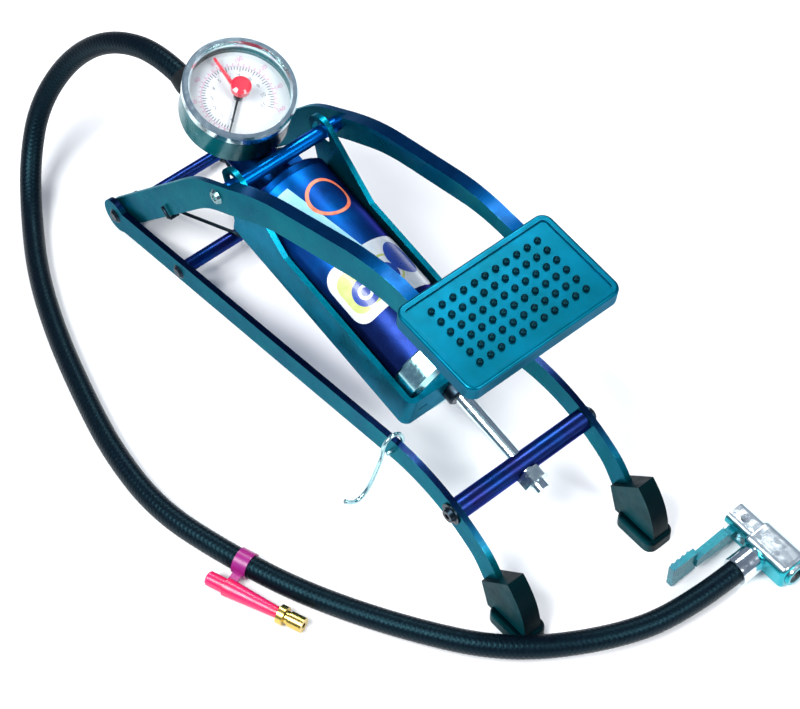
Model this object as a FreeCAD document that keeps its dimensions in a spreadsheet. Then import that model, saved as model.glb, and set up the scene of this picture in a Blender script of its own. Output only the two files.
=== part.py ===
import math
import os

import FreeCAD
import Part
import Sketcher

# Single-barrel foot pump with a pressure gauge.
# Frame in millimetres: +Z up, -Y towards the feet and the pedal, +Y towards the rear axle,
# X across. The origin is on the floor, midway between the arms.

Vector = FreeCAD.Vector
Rotation = FreeCAD.Rotation
Placement = FreeCAD.Placement

DOC = FreeCAD.newDocument("foot_pump")
SHEET = DOC.addObject("Spreadsheet::Sheet", "sizes")
PARTS = {}

DRIVING = {
    "half_width": 46.0, "strap_thick": 3.5, "strap_width": 15.0, "rear_eye_radius": 10.5,
    "lever_half": 41.5, "lever_thick": 3.0, "lever_width": 17.5, "flange_width": 7.0,
    "toe_in": 5.2, "pin_radius": 2.5, "fit": 0.06, "gap": 0.3,
    "axle_radius": 3.5, "cross_radius": 4.0, "trunnion_radius": 4.0, "eye_clear": 7.1,
    "front_tube_radius": 6.0, "screw_head": 4.4, "screw_head_high": 2.2,
    "pedal_wide": 95.0, "pedal_deep": 57.0, "pedal_high": 9.0, "pedal_skin": 2.5,
    "pedal_plate_thick": 2.0, "stud_radius": 2.0, "stud_high": 2.0, "tread_drop": 1.0,
    "barrel_radius": 26.5, "bore_radius": 24.5, "barrel_start": 60.0, "barrel_end": 190.0,
    "cap_radius": 27.2, "cap_front": 57.0, "cap_end": 73.0, "yoke_thick": 3.0,
    "yoke_half_high": 12.0, "rod_radius": 4.0, "rod_front": 18.0, "piston_face": 126.0,
    "piston_thick": 10.0, "head_front": 182.0, "head_flange": 195.0, "boss_radius": 12.0,
    "boss_end": 252.0, "port_radius": 2.5, "chamber_radius": 5.2, "chamber_front": 212.0,
    "chamber_end": 244.0, "hose_radius": 6.2, "hose_start": 270.0,
    "gauge_radius": 30.6, "gauge_deep": 27.0, "spring_coil": 5.6, "spring_wire": 1.0,
    "hook_wire": 1.25, "chuck_radius": 9.1, "adapter_radius": 5.2,
}

# Pivots in the side view, as (y, z).
REAR_AXLE = (177.0, 10.5)
CROSS_TUBE = (115.5, 18.5)
FRONT_PIVOT = (-115.5, 46.5)
HOOK_PIVOT = (-70.0, 51.5)

# The barrel's own frame: its axis leaves the front pivot and climbs backwards.
BARREL_TILT = 12.1
TRUNNION_ALONG = 202.0
TRUNNION_ABOVE = 25.0
GAUGE_ALONG = 240.5
GAUGE_BASE = 19.5
GAUGE_EXTRA_TILT = 5.5

# Centre lines of the bent straps, as (y, z) with the bend radius at each inner corner.
BASE_LINE = [(177.0, 9.2), (-102.0, 56.4), (-138.5, 32.6), (-155.0, 9.5)]
BASE_BENDS = [90.0, 30.0]
LEVER_LINE = [(177.0, 10.5), (92.0, 103.5), (38.0, 134.5), (-45.0, 159.0), (-121.0, 151.0)]
LEVER_BENDS = [80.0, 150.0, 110.0]

# Corner points of the hose's route, from the head to the chuck.
HOSE_ROUTE = [
    (0.0, 148.52, 103.1), (0.0, 178.52, 109.53), (-9.0, 215.5, 99.5), (-23.5, 239.5, 76.0),
    (-45.5, 245.5, 47.5), (-64.0, 234.0, 22.0), (-82.0, 209.5, 6.8), (-102.5, 173.5, 6.4),
    (-118.5, 133.0, 6.4), (-131.0, 90.0, 6.4), (-141.0, 47.5, 6.4), (-144.0, 3.5, 6.4),
    (-134.0, -38.0, 6.4), (-118.0, -84.0, 6.4), (-92.0, -134.0, 8.4), (-63.5, -177.5, 12.6),
    (-22.5, -204.0, 12.0), (18.0, -217.0, 9.6), (57.0, -217.0, 9.2),
]

CHUCK_X = 80.0
CHUCK_Y = -217.0
CHUCK_Z = 9.2


class Dim:
    """A size that keeps its number and the sheet expression that gives it."""

    def __init__(self, value, text):
        self.value = float(value)
        self.text = text

    def joined(self, other, sign, value):
        return Dim(value, "(" + self.text + " " + sign + " " + dim(other).text + ")")

    def __add__(self, other):
        return self.joined(other, "+", self.value + dim(other).value)

    def __sub__(self, other):
        return self.joined(other, "-", self.value - dim(other).value)

    def __mul__(self, other):
        return self.joined(other, "*", self.value * dim(other).value)

    def __truediv__(self, other):
        return self.joined(other, "/", self.value / dim(other).value)

    def __neg__(self):
        return Dim(-self.value, "(0 - " + self.text + ")")


def dim(thing):
    if isinstance(thing, Dim):
        return thing
    return Dim(thing, "{:.6f}".format(thing))


def size(alias):
    return Dim(DRIVING[alias], "sizes." + alias)


def fill_sheet():
    for row, alias in enumerate(DRIVING, start=1):
        SHEET.set("A{}".format(row), alias)
        SHEET.set("B{}".format(row), str(DRIVING[alias]))
        SHEET.setAlias("B{}".format(row), alias)
    DOC.recompute()


def bind(item, prop, value):
    setattr(item, prop, dim(value).value)
    if "sizes." in dim(value).text:
        item.setExpression(prop, dim(value).text)


def keep(item, name):
    """Name a finished sub-part; its Label names the file."""
    item.Label = name
    PARTS[name] = item
    return item


# ---------------------------------------------------------------- frames

def barrel_frame():
    return Placement(Vector(0, *FRONT_PIVOT), Rotation(Vector(1, 0, 0), BARREL_TILT))


def in_barrel(along, above=0.0, across=0.0):
    """World point of a place in the barrel's frame."""
    return barrel_frame().multVec(Vector(across, along, above))


def gauge_frame():
    turn = Rotation(Vector(1, 0, 0), BARREL_TILT + GAUGE_EXTRA_TILT)
    return Placement(in_barrel(GAUGE_ALONG, GAUGE_BASE), turn)


def trunnion_point():
    return in_barrel(TRUNNION_ALONG, TRUNNION_ABOVE)


def pedal_frame():
    """Pedal plane: origin in the middle of the steel plate's underside."""
    (y_rear, z_rear), (y_front, z_front) = LEVER_LINE[3], LEVER_LINE[4]
    slope = math.atan2(z_rear - z_front, y_rear - y_front)
    middle = -98.5
    centre = z_rear + (middle - y_rear) * math.tan(slope)
    up = DRIVING["lever_width"] / 2
    origin = Vector(0, middle - up * math.sin(slope), centre + up * math.cos(slope))
    return Placement(origin, Rotation(Vector(1, 0, 0), math.degrees(slope)))


def along_x(x, y, z):
    return Placement(Vector(x, y, z), Rotation(Vector(0, 1, 0), 90))


def along_barrel(along, above=0.0, across=0.0):
    turn = Rotation(Vector(1, 0, 0), BARREL_TILT - 90)
    return Placement(in_barrel(along, above, across), turn)


# ---------------------------------------------------------------- builders

def cylinder(radius, high, place):
    item = DOC.addObject("Part::Cylinder", "cylinder")
    bind(item, "Radius", radius)
    bind(item, "Height", high)
    item.Placement = place
    return item


def cone(radius_low, radius_top, high, place):
    item = DOC.addObject("Part::Cone", "cone")
    bind(item, "Radius1", radius_low)
    bind(item, "Radius2", radius_top)
    bind(item, "Height", high)
    item.Placement = place
    return item


def box(wide, deep, high, place):
    """A box centred on its placement in its own X and Y, standing on it in Z."""
    item = DOC.addObject("Part::Box", "box")
    bind(item, "Length", wide)
    bind(item, "Width", deep)
    bind(item, "Height", high)
    shift = Placement(Vector(-dim(wide).value / 2, -dim(deep).value / 2, 0), Rotation())
    item.Placement = place.multiply(shift)
    return item


def sphere(radius, place):
    item = DOC.addObject("Part::Sphere", "sphere")
    bind(item, "Radius", radius)
    item.Placement = place
    return item


def hexagon(flats, high, place):
    item = DOC.addObject("Part::Prism", "hexagon")
    item.Polygon = 6
    bind(item, "Circumradius", dim(flats) / math.sqrt(3))
    bind(item, "Height", high)
    item.Placement = place
    return item


def cut(base, tool):
    item = DOC.addObject("Part::Cut", "cut")
    item.Base = base
    item.Tool = tool
    return item


def fuse(items):
    item = DOC.addObject("Part::MultiFuse", "fuse")
    item.Shapes = items
    return item


def common(items):
    item = DOC.addObject("Part::MultiCommon", "common")
    item.Shapes = items
    return item


def group(items):
    item = DOC.addObject("Part::Compound", "group")
    item.Links = items
    return item


def plane_of(body, role):
    for feature in body.Origin.OriginFeatures:
        if feature.Role == role:
            return feature
    raise RuntimeError("no plane " + role)


def new_sketch(body, role):
    sketch = body.newObject("Sketcher::SketchObject", "profile")
    sketch.AttachmentSupport = [(plane_of(body, role), "")]
    sketch.MapMode = "FlatFace"
    return sketch


def draw_polygon(sketch, corners):
    """A closed outline whose corners are bound to the sheet."""
    points = [(dim(a), dim(b)) for a, b in corners]
    first = sketch.GeometryCount
    for here, there in zip(points, points[1:] + points[:1]):
        start = Vector(here[0].value, here[1].value, 0)
        end = Vector(there[0].value, there[1].value, 0)
        sketch.addGeometry(Part.LineSegment(start, end), False)
    for step in range(len(points)):
        after = first + (step + 1) % len(points)
        sketch.addConstraint(Sketcher.Constraint("Coincident", first + step, 2, after, 1))
    for step, (across, up) in enumerate(points):
        for kind, value in (("DistanceX", across), ("DistanceY", up)):
            if abs(value.value) < 1e-9:
                axis = -2 if kind == "DistanceX" else -1
                sketch.addConstraint(Sketcher.Constraint("PointOnObject", first + step, 1, axis))
                continue
            rule = Sketcher.Constraint(kind, -1, 1, first + step, 1, value.value)
            number = sketch.addConstraint(rule)
            if "sizes." in value.text:
                sketch.setExpression("Constraints[{}]".format(number), value.text)


def draw_circle(sketch, centre, radius):
    circle = Part.Circle(Vector(centre[0], centre[1], 0), Vector(0, 0, 1), dim(radius).value)
    index = sketch.addGeometry(circle, False)
    number = sketch.addConstraint(Sketcher.Constraint("Radius", index, dim(radius).value))
    if "sizes." in dim(radius).text:
        sketch.setExpression("Constraints[{}]".format(number), dim(radius).text)


def draw_edges(sketch, edges):
    """Lines and arcs end to end, closing on themselves."""
    first = sketch.GeometryCount
    for edge in edges:
        if len(edge) == 2:
            sketch.addGeometry(Part.LineSegment(edge[0], edge[1]), False)
        else:
            sketch.addGeometry(Part.Arc(*edge), False)
    for step in range(len(edges)):
        sketch.addConstraint(Sketcher.Constraint("Block", first + step))


def new_body(place=None):
    body = DOC.addObject("PartDesign::Body", "body")
    if place is not None:
        body.Placement = place
    return body


def turned(corners, place):
    """Revolve an outline of (radius, height) corners about the body's own Y axis."""
    body = new_body(place)
    sketch = new_sketch(body, "XY_Plane")
    draw_polygon(sketch, corners)
    revolve = body.newObject("PartDesign::Revolution", "revolve")
    revolve.Profile = sketch
    revolve.ReferenceAxis = (sketch, ["V_Axis"])
    revolve.Angle = 360
    return body


def pad(body, sketch, length):
    feature = body.newObject("PartDesign::Pad", "pad")
    feature.Profile = sketch
    bind(feature, "Length", length)
    return feature


def pocket_through(body, sketch):
    feature = body.newObject("PartDesign::Pocket", "pocket")
    feature.Profile = sketch
    feature.Type = "ThroughAll"
    feature.Midplane = True
    return feature


def strap_edges(line, bends, half, square_start=True):
    """Outline of a strap of width 2*half along a centre line with rounded bends."""
    points = [Vector(y, z, 0) for y, z in line]
    heads = [(b - a).normalize() for a, b in zip(points, points[1:])]
    sides = {1: [], -1: []}
    for side in sides:
        start = points[0] + side_of(heads[0]) * (side * half)
        for step, bend in enumerate(bends):
            before, after = heads[step], heads[step + 1]
            corner = points[step + 1]
            turn = math.atan2(before.cross(after).z, before.dot(after))
            reach = bend * math.tan(abs(turn) / 2)
            inward = side_of(before) * math.copysign(1, turn)
            centre = corner - before * reach + inward * bend
            radius = bend - half * side * math.copysign(1, turn)
            out_start = centre - inward * radius
            out_end = centre - side_of(after) * (math.copysign(1, turn) * radius)
            middle_way = (out_start - centre + out_end - centre).normalize()
            sides[side].append((start, out_start))
            sides[side].append((out_start, centre + middle_way * radius, out_end))
            start = out_end
        sides[side].append((start, points[-1] + side_of(heads[-1]) * (side * half)))
    there = sides[1]
    back = [tuple(reversed(edge)) for edge in reversed(sides[-1])]
    end_cap = (there[-1][-1], back[0][0])
    if square_start:
        start_cap = (back[-1][-1], there[0][0])
    else:
        start_cap = (back[-1][-1], points[0] - heads[0] * half, there[0][0])
    return there + [end_cap] + back + [start_cap]


def side_of(head):
    return Vector(-head.y, head.x, 0)


def strip_edges(line, bends, low, high):
    """Outline of the strip between two distances from the same centre line."""
    upper = strap_edges(line, bends, high)
    lower = strap_edges(line, bends, low)
    count = 2 * len(bends) + 1
    back = [tuple(reversed(edge)) for edge in reversed(lower[:count])]
    return upper[:count] + [(upper[count - 1][-1], back[0][0])] + back + [
        (back[-1][-1], upper[0][0])]


def route_path(route):
    """Straight runs joined by tangent arcs as large as the runs allow."""
    points = [Vector(*point) for point in route]
    edges = []
    radii = []
    start = points[0]
    for before, corner, after in zip(points, points[1:], points[2:]):
        into = (corner - before).normalize()
        out = (after - corner).normalize()
        turn = into.getAngle(out)
        run = min((corner - before).Length, (after - corner).Length)
        radius = 0.45 * run / math.tan(turn / 2)
        radii.append(radius)
        arc_start = corner - into * (0.45 * run)
        arc_end = corner + out * (0.45 * run)
        inward = (out - into).normalize()
        centre = corner + inward * (radius / math.cos(turn / 2))
        edges.append(Part.LineSegment(start, arc_start).toShape())
        edges.append(Part.Arc(arc_start, centre - inward * radius, arc_end).toShape())
        start = arc_end
    edges.append(Part.LineSegment(start, points[-1]).toShape())
    return Part.Wire(edges), radii


def bent_rod(points, radius):
    """Round wire through the points, with a ball at every bend."""
    spots = [Vector(*point) for point in points]
    pieces = []
    for here, there in zip(spots, spots[1:]):
        turn = Rotation(Vector(0, 0, 1), there - here)
        pieces.append(cylinder(radius, (there - here).Length, Placement(here, turn)))
    for spot in spots[1:-1]:
        pieces.append(sphere(radius, Placement(spot, Rotation())))
    return fuse(pieces)


# ---------------------------------------------------------------- base frame

def base_arm(side):
    half = size("half_width")
    inner = half - size("strap_thick")
    left = side < 0
    start = -half.value if left else inner.value
    body = new_body(Placement(Vector(start, 0, 0), Rotation()))
    strap = new_sketch(body, "YZ_Plane")
    draw_edges(strap, strap_edges(BASE_LINE, BASE_BENDS, DRIVING["strap_width"] / 2))
    pad(body, strap, size("strap_thick"))
    eye = new_sketch(body, "YZ_Plane")
    draw_circle(eye, REAR_AXLE, size("rear_eye_radius"))
    pad(body, eye, size("strap_thick"))
    holes = new_sketch(body, "YZ_Plane")
    for centre in (REAR_AXLE, CROSS_TUBE, FRONT_PIVOT):
        draw_circle(holes, centre, size("pin_radius"))
    if left:
        draw_circle(holes, HOOK_PIVOT, size("hook_wire") + size("fit"))
    pocket_through(body, holes)
    name = "base_arm_left" if left else "base_arm_right"
    return keep(body, name)


def foot(side, arm):
    """Rubber boot: a flat sleeve on the strap's end over a rounded floor pad."""
    middle = side * (DRIVING["half_width"] - DRIVING["strap_thick"] / 2)
    sleeve_wide = 10.5
    sleeve = new_body(Placement(Vector(middle - sleeve_wide / 2, 0, 0), Rotation()))
    outline = new_sketch(sleeve, "YZ_Plane")
    shape = [(Vector(-143.0, 20.5, 0), Vector(-148.5, 4.0, 0)),
             (Vector(-148.5, 4.0, 0), Vector(-176.5, 4.0, 0)),
             (Vector(-176.5, 4.0, 0), Vector(-173.5, 22.5, 0), Vector(-161.5, 40.0, 0)),
             (Vector(-161.5, 40.0, 0), Vector(-143.0, 20.5, 0))]
    draw_edges(outline, shape)
    pad(sleeve, outline, sleeve_wide)
    pad_body = new_body(Placement(Vector(middle, -165.0, 0), Rotation()))
    floor = new_sketch(pad_body, "XY_Plane")
    half_x, half_y, corner = 9.0, 13.5, 5.0
    draw_edges(floor, rounded_rectangle(half_x, half_y, corner))
    block = pad(pad_body, floor, 8.0)
    DOC.recompute()
    rim = pad_body.newObject("PartDesign::Fillet", "rim")
    rim.Base = (block, top_edges(block.Shape, 8.0))
    rim.Radius = 2.5
    whole = fuse([sleeve, pad_body])
    name = "foot_left" if side < 0 else "foot_right"
    return keep(cut(whole, arm), name)


def rounded_rectangle(half_x, half_y, corner):
    """Edges of a rounded rectangle about the origin, anticlockwise."""
    edges = []
    lift = corner * (1 - math.sqrt(0.5))
    for turn in range(4):
        along, across = (half_x, half_y) if turn % 2 == 0 else (half_y, half_x)
        spin = Rotation(Vector(0, 0, 1), 90 * turn)
        low = spin.multVec(Vector(along, -across + corner, 0))
        high = spin.multVec(Vector(along, across - corner, 0))
        middle = spin.multVec(Vector(along - lift, across - lift, 0))
        end = spin.multVec(Vector(along - corner, across, 0))
        edges.append((low, high))
        edges.append((high, middle, end))
    return edges


def end_edges(shape):
    """Names of the edges round a shape's end that lies furthest towards -Y."""
    low = min(vertex.Y for vertex in shape.Vertexes)
    return ["Edge{}".format(number) for number, edge in enumerate(shape.Edges, start=1)
            if all(abs(vertex.Y - low) < 1e-6 for vertex in edge.Vertexes)]


def top_edges(shape, high):
    names = []
    for number, edge in enumerate(shape.Edges, start=1):
        if all(abs(vertex.Z - high) < 1e-6 for vertex in edge.Vertexes):
            names.append("Edge{}".format(number))
    return names


def axle_set():
    """Rear axle pin with rivet heads, and the spacer tube that the springs sit on."""
    half = size("half_width")
    pin_length = half * 2
    pieces = [cylinder(size("pin_radius"), pin_length, along_x(-half.value, *REAR_AXLE))]
    for side in (-1, 1):
        pieces.append(rivet_head(side, REAR_AXLE, half.value, 4.6))
    keep(fuse(pieces), "rear_axle_pin")
    spacer_half = size("lever_half") - size("lever_thick") - size("gap")
    tube = cylinder(size("axle_radius"), spacer_half * 2, along_x(-spacer_half.value, *REAR_AXLE))
    bore = cylinder(size("pin_radius"), pin_length, along_x(-half.value, *REAR_AXLE))
    keep(cut(tube, bore), "rear_axle_tube")


def rivet_head(side, centre, face, radius):
    """Low conical head standing on an outer face at x = side * face."""
    turn = Rotation(Vector(0, 1, 0), 90 * side)
    return cone(radius, radius * 0.62, 1.6, Placement(Vector(side * face, *centre), turn))


def cross_tube_set():
    half = size("half_width")
    inner = half - size("strap_thick")
    tube = cylinder(size("cross_radius"), inner * 2, along_x(-inner.value, *CROSS_TUBE))
    depth = 12.0
    rivets = []
    sockets = []
    for side in (-1, 1):
        start = -half.value if side < 0 else half.value - depth
        rivets.append(fuse([cylinder(size("pin_radius"), depth, along_x(start, *CROSS_TUBE)),
                            rivet_head(side, CROSS_TUBE, half.value, 4.4)]))
        sockets.append(cylinder(size("pin_radius"), depth, along_x(start, *CROSS_TUBE)))
    keep(cut(tube, fuse(sockets)), "cross_tube")
    keep(group(rivets), "cross_tube_rivets")


def front_screws():
    """The two shoulder screws and washers that the front tube turns on."""
    half = DRIVING["half_width"]
    washer_thick = 1.0
    shank = 18.0
    screws = []
    washers = []
    for side in (-1, 1):
        start = -half - washer_thick if side < 0 else half + washer_thick - shank
        turn = Rotation(Vector(0, 1, 0), 90 * side)
        face = Vector(side * (half + washer_thick), *FRONT_PIVOT)
        head = cone(size("screw_head"), size("screw_head") * 0.8, size("screw_head_high"),
                    Placement(face, turn))
        recess = hexagon(3.0, 1.4, Placement(face + Vector(side * 0.9, 0, 0), turn))
        body = cylinder(size("pin_radius"), shank, along_x(start, *FRONT_PIVOT))
        screws.append(fuse([cut(head, recess), body]))
        disc_start = side * half if side > 0 else -half - washer_thick
        disc = cylinder(6.2, washer_thick, along_x(disc_start, *FRONT_PIVOT))
        hole = cylinder(size("pin_radius"), washer_thick, along_x(disc_start, *FRONT_PIVOT))
        washers.append(cut(disc, hole))
    keep(group(screws), "front_screws")
    keep(group(washers), "front_washers")


def return_spring():
    """Left torsion spring: a coil on the axle tube, a leg under the lever, a leg on the tube."""
    side = -1
    coil_out, coil_in, foot_x = 37.6, 27.0, 8.0
    y, z = REAR_AXLE
    wire = DRIVING["spring_wire"]
    mean = DRIVING["spring_coil"]
    turns = 5
    pitch = (coil_out - coil_in) / turns
    body = new_body(Placement(Vector(side * coil_in, y, z), Rotation(Vector(0, 0, 1), -90 * side)))
    sketch = new_sketch(body, "XY_Plane")
    edges = [(Vector(mean - wire, 0, 0), Vector(mean, 0, 0))]
    for turn in range(turns):
        low = turn * pitch
        edges.append((Vector(mean, low, 0), Vector(mean + wire, low + pitch / 2, 0),
                      Vector(mean, low + pitch, 0)))
    top = turns * pitch
    edges.append((Vector(mean, top, 0), Vector(mean - wire, top, 0)))
    edges.append((Vector(mean - wire, top, 0), Vector(mean - wire, 0, 0)))
    draw_edges(sketch, edges)
    revolve = body.newObject("PartDesign::Revolution", "coil")
    revolve.Profile = sketch
    revolve.ReferenceAxis = (sketch, ["V_Axis"])
    revolve.Angle = 360
    first = Vector(0, LEVER_LINE[1][0] - y, LEVER_LINE[1][1] - z).normalize()
    below = Vector(0, -first.z, first.y)
    reach = 68.0
    edge = DRIVING["lever_width"] / 2 + wire + 0.4
    start = Vector(side * (coil_out - wire), y, z) + below * mean
    under = Vector(side * 37.2, y, z) + first * reach + below * edge
    outside = Vector(side * (DRIVING["lever_half"] + wire + 0.4), under.y, under.z)
    tip = outside - below * 8.0
    hook_leg = bent_rod([start, under, outside, tip], wire)
    rest = Vector(side * foot_x, CROSS_TUBE[0], CROSS_TUBE[1])
    lift = Vector(0, 0, DRIVING["cross_radius"] + wire)
    leg_start = Vector(side * (coil_in + wire), y, z + mean)
    past = (rest + lift - leg_start).normalize() * 7.0
    floor_leg = bent_rod([leg_start, rest + lift, rest + lift + past], wire)
    return keep(fuse([body, hook_leg, floor_leg]), "return_spring_left")


def mirrored(source, name):
    """The same sub-part on the other side of the mid-plane."""
    item = DOC.addObject("Part::Mirroring", "mirror")
    item.Source = source
    item.Normal = Vector(1, 0, 0)
    return keep(item, name)


# ---------------------------------------------------------------- lever

def lever_plan(side, thick):
    """Plan of one lever arm: straight at the rear, toeing in towards the pedal."""
    body = new_body()
    sketch = new_sketch(body, "XY_Plane")
    out = size("lever_half") * side
    into = (size("lever_half") - size("toe_in")) * side
    width = dim(thick) * side
    stations = [(out, 205.0), (out, 66.0), (into, -60.0), (into, -140.0)]
    corners = stations + [(x - width, y) for x, y in reversed(stations)]
    draw_polygon(sketch, corners)
    pad(body, sketch, 260.0)
    return body


def lever_side(edges):
    wide = 60.0
    body = new_body(Placement(Vector(-wide, 0, 0), Rotation()))
    sketch = new_sketch(body, "YZ_Plane")
    draw_edges(sketch, edges)
    pad(body, sketch, wide * 2)
    return body


def lever_arm(side):
    half = DRIVING["lever_width"] / 2
    web_edges = strap_edges(LEVER_LINE, LEVER_BENDS, half, square_start=False)
    web = common([lever_side(web_edges), lever_plan(side, size("lever_thick"))])
    skin = 2.5
    front_line = [(64.0, LEVER_LINE[2][1] - 14.93)] + LEVER_LINE[2:]
    flange_edges = strip_edges(front_line, LEVER_BENDS[1:], -half, -half + skin)
    flange = common([lever_side(flange_edges), lever_plan(side, size("flange_width"))])
    whole = fuse([web, flange])
    relief = new_body(Placement(Vector(-60, 0, 0), Rotation()))
    sketch = new_sketch(relief, "YZ_Plane")
    draw_polygon(sketch, [(-62.0, 130.0), (-62.0, 148.0), (-90.0, 155.5), (-130.0, 150.5),
                          (-130.0, 130.0)])
    pad(relief, sketch, 120.0)
    holes = [relief]
    full = DRIVING["half_width"] * 2
    holes.append(cylinder(size("pin_radius") + size("fit"), full,
                          along_x(-full / 2, *REAR_AXLE)))
    middle = trunnion_point()
    holes.append(cylinder(size("pin_radius"), full, along_x(-full / 2, middle.y, middle.z)))
    for y_place in (-17.0, 17.0):
        holes.append(pedal_rivet_shank(side, y_place))
    name = "lever_arm_left" if side < 0 else "lever_arm_right"
    return keep(cut(whole, fuse(holes)), name)


def pedal_rivet_place(side, y_place, high):
    across = side * (DRIVING["lever_half"] - DRIVING["toe_in"] - 5.0)
    return pedal_frame().multiply(Placement(Vector(across, y_place, high), Rotation()))


def pedal_rivet_shank(side, y_place):
    depth = 6.0
    return cylinder(1.1, depth + DRIVING["pedal_plate_thick"],
                    pedal_rivet_place(side, y_place, -depth))


def trunnion_set():
    """Tube between the lever arms, with a screw through each arm."""
    middle = trunnion_point()
    inner = size("lever_half") - size("lever_thick")
    out = DRIVING["lever_half"]
    depth = 16.0
    tube = cylinder(size("trunnion_radius"), inner * 2, along_x(-inner.value, middle.y, middle.z))
    screws = []
    sockets = []
    for side in (-1, 1):
        start = -out if side < 0 else out - depth
        turn = Rotation(Vector(0, 1, 0), 90 * side)
        face = Vector(side * out, middle.y, middle.z)
        head = cone(size("screw_head"), size("screw_head") * 0.8, 1.6, Placement(face, turn))
        recess = hexagon(3.2, 1.2, Placement(face + Vector(side * 0.6, 0, 0), turn))
        shank = cylinder(size("pin_radius"), depth, along_x(start, middle.y, middle.z))
        sockets.append(cylinder(size("pin_radius"), depth, along_x(start, middle.y, middle.z)))
        screws.append(fuse([cut(head, recess), shank]))
    keep(cut(tube, fuse(sockets)), "trunnion_tube")
    keep(group(screws), "trunnion_screws")


def pedal_plate():
    """Steel plate riveted to the flanges, hidden under the tread."""
    body = new_body(pedal_frame())
    sketch = new_sketch(body, "XY_Plane")
    draw_edges(sketch, rounded_rectangle(44.0, 25.0, 4.0))
    pad(body, sketch, size("pedal_plate_thick"))
    shanks = [pedal_rivet_shank(side, y) for side in (-1, 1) for y in (-17.0, 17.0)]
    return keep(cut(body, fuse(shanks)), "pedal_plate")


def pedal_rivets():
    rivets = []
    for side in (-1, 1):
        for y_place in (-17.0, 17.0):
            skin = 2.5
            shank = cylinder(1.1, skin + DRIVING["pedal_plate_thick"],
                             pedal_rivet_place(side, y_place, -skin))
            place = pedal_rivet_place(side, y_place, -skin)
            flip = place.multiply(Placement(Vector(0, 0, 0), Rotation(Vector(1, 0, 0), 180)))
            rivets.append(fuse([shank, cone(1.8, 1.3, 1.1, flip)]))
    return keep(group(rivets), "pedal_rivets")


def pedal_cover():
    """Moulded tread: a shallow tray with skirts all round, open underneath."""
    wide, deep = DRIVING["pedal_wide"] / 2, DRIVING["pedal_deep"] / 2
    skin = DRIVING["pedal_skin"]
    top = size("pedal_plate_thick") + size("pedal_skin")
    drop = size("pedal_high") - top
    place = pedal_frame().multiply(Placement(Vector(0, 0, -drop.value), Rotation()))
    body = new_body(place)
    outline = new_sketch(body, "XY_Plane")
    draw_edges(outline, rounded_rectangle(wide, deep, 6.0))
    block = pad(body, outline, size("pedal_high"))
    DOC.recompute()
    rim = body.newObject("PartDesign::Fillet", "rim")
    rim.Base = (block, top_edges(block.Shape, DRIVING["pedal_high"]))
    rim.Radius = 1.5
    hollow = box(wide * 2 - 2 * skin, deep * 2 - 2 * skin,
                 size("pedal_high") - size("pedal_skin"), place)
    tray = new_body(place.multiply(
        Placement(Vector(0, 0, DRIVING["pedal_high"] - DRIVING["tread_drop"]), Rotation())))
    tray_outline = new_sketch(tray, "XY_Plane")
    rim_wide = 3.6
    draw_edges(tray_outline, rounded_rectangle(wide - rim_wide, deep - rim_wide, 2.6))
    pad(tray, tray_outline, size("tread_drop"))
    slots = []
    for side in (-1, 1):
        slot = Placement(Vector(side * (DRIVING["lever_half"] - DRIVING["toe_in"] - 3.5),
                                deep - 4, -1), Rotation())
        slots.append(box(7.8, 12.0, dim(DRIVING["pedal_high"]) - skin + 1.0, place.multiply(slot)))
    return keep(cut(body, fuse([hollow, tray] + slots)), "pedal_cover")


def pedal_studs():
    """Eleven by six grip studs standing on the tread."""
    top = DRIVING["pedal_plate_thick"] + DRIVING["pedal_skin"] - DRIVING["tread_drop"]
    studs = []
    columns, rows = 11, 6
    step_x, step_y = 6.63, 6.9
    for column in range(columns):
        for row in range(rows):
            spot = Vector((column - (columns - 1) / 2) * step_x,
                          (row - (rows - 1) / 2) * step_y, top)
            place = pedal_frame().multiply(Placement(spot, Rotation()))
            studs.append(cone(size("stud_radius"), size("stud_radius") * 0.7,
                              size("stud_high"), place))
    return keep(group(studs), "pedal_studs")


# ---------------------------------------------------------------- rod and piston

def front_tube():
    half = DRIVING["half_width"] - DRIVING["strap_thick"] - DRIVING["gap"]
    tube = cylinder(size("front_tube_radius"), half * 2, along_x(-half, *FRONT_PIVOT))
    depth = 16.0
    cuts = [cylinder(size("rod_radius"), 30.0, along_barrel(-15.0))]
    for side in (-1, 1):
        start = -half if side < 0 else half - depth
        cuts.append(cylinder(size("pin_radius") + size("fit"), depth,
                             along_x(start, *FRONT_PIVOT)))
    return keep(cut(tube, fuse(cuts)), "front_tube")


def piston_rod():
    start = -DRIVING["rod_front"]
    end = DRIVING["piston_face"] + DRIVING["piston_thick"] + 5.5
    rod = cylinder(size("rod_radius"), end - start, along_barrel(start))
    return keep(rod, "piston_rod")


def rod_nuts():
    """Nut in front of the tube and nut behind the piston."""
    nuts = []
    behind = DRIVING["piston_face"] + DRIVING["piston_thick"]
    for start, high in ((-DRIVING["front_tube_radius"] - 6.8, 6.8), (behind, 5.0)):
        nut = hexagon(13.0, high, along_barrel(start))
        bore = cylinder(size("rod_radius"), high, along_barrel(start))
        nuts.append(cut(nut, bore))
    return keep(group(nuts), "rod_nuts")


def piston():
    face = size("piston_face")
    rod = size("rod_radius")
    out = size("bore_radius") - 0.7
    corners = [(rod, face), (out, face), (out, face + 3.0), (rod + 15.0, face + 3.0),
               (rod + 15.0, face + 7.0), (out, face + 7.0), (out, face + size("piston_thick")),
               (rod, face + size("piston_thick"))]
    return keep(turned(corners, barrel_frame()), "piston")


def piston_cup():
    face = size("piston_face")
    rod = size("rod_radius")
    rim = size("bore_radius") - size("fit")
    corners = [(rod + 15.0, face + 3.0), (rim, face + 3.0), (rim, face + 7.0),
               (rod + 15.0, face + 7.0)]
    return keep(turned(corners, barrel_frame()), "piston_cup")


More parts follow.
